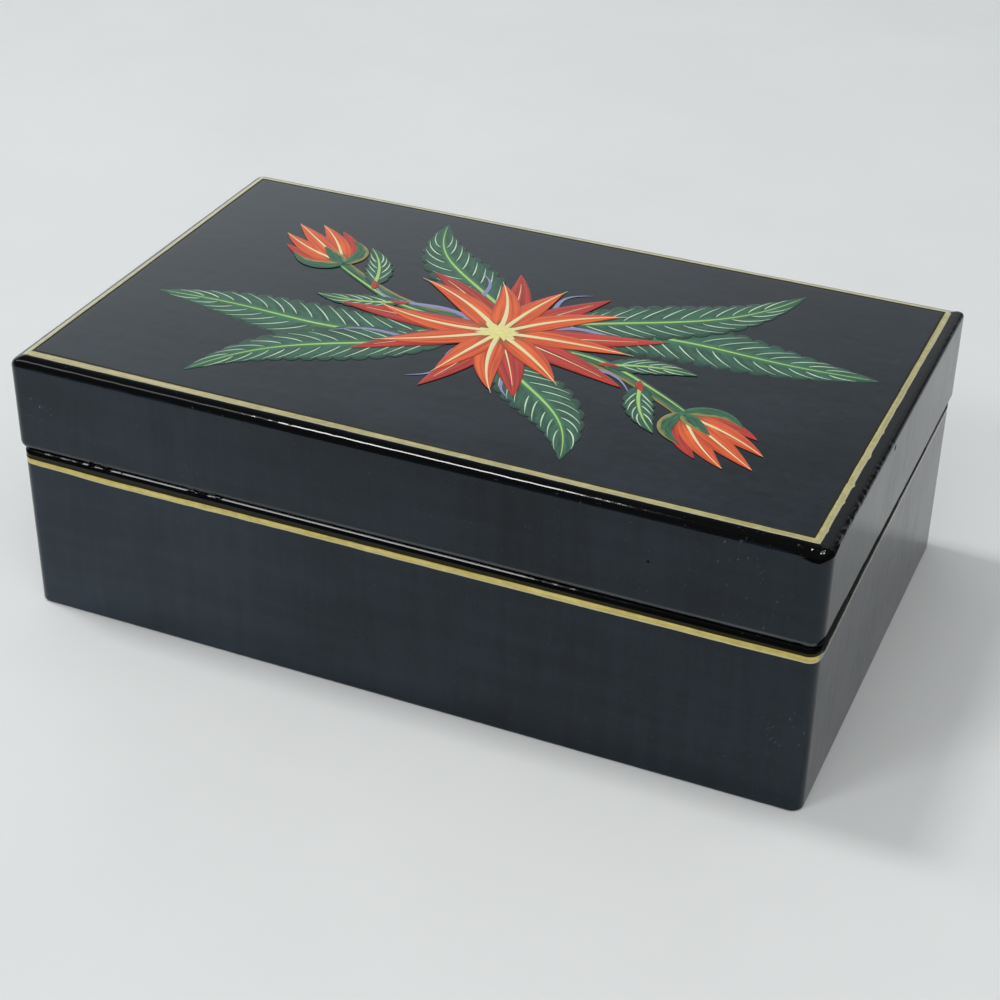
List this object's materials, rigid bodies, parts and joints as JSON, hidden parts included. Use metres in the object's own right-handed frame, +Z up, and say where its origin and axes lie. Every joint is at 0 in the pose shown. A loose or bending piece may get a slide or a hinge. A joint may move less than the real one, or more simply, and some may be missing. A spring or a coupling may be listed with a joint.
{
  "type": "lacquer trinket box",
  "caption": "Oblong black-lacquered wooden trinket box with rounded edges, a flower painting and gold lines, and a lid that lifts straight off over a raised inner liner.",
  "frame": {"origin": "centre of the underside, on the surface the box stands on", "axes": "+X along the long front to the right, +Y from the front to the back, +Z up, the way the lid lifts off"},
  "size_m": [0.2, 0.121, 0.069],
  "materials": {
    "outer_lacquer": "glossy black lacquer over wood, slightly pitted",
    "inner_lacquer": "satin black lacquer over wood",
    "gold_paint": "matte ochre-gold hand-painted line",
    "green_paint": "thin tempera paint under clear lacquer",
    "red_paint": "thin tempera paint under clear lacquer",
    "cream_paint": "thin tempera paint under clear lacquer",
    "violet_paint": "thin tempera paint under clear lacquer"
  },
  "bodies": {
    "base": {"base_bottom": "outer_lacquer", "base_front_wall": "outer_lacquer", "base_right_wall": "outer_lacquer", "base_back_wall": "outer_lacquer", "base_left_wall": "outer_lacquer", "liner_front": "inner_lacquer", "liner_right": "inner_lacquer", "liner_back": "inner_lacquer", "liner_left": "inner_lacquer"},
    "lid": {"lid_top": "outer_lacquer", "lid_front_wall": "outer_lacquer", "lid_right_wall": "outer_lacquer", "lid_back_wall": "outer_lacquer", "lid_left_wall": "outer_lacquer"}
  },
  "joints": [
    {"name": "lid_lift", "type": "slide", "parent": "base", "child": "lid", "axis": [0, 0, 1], "range_m": [0, 0.06]}
  ]
}
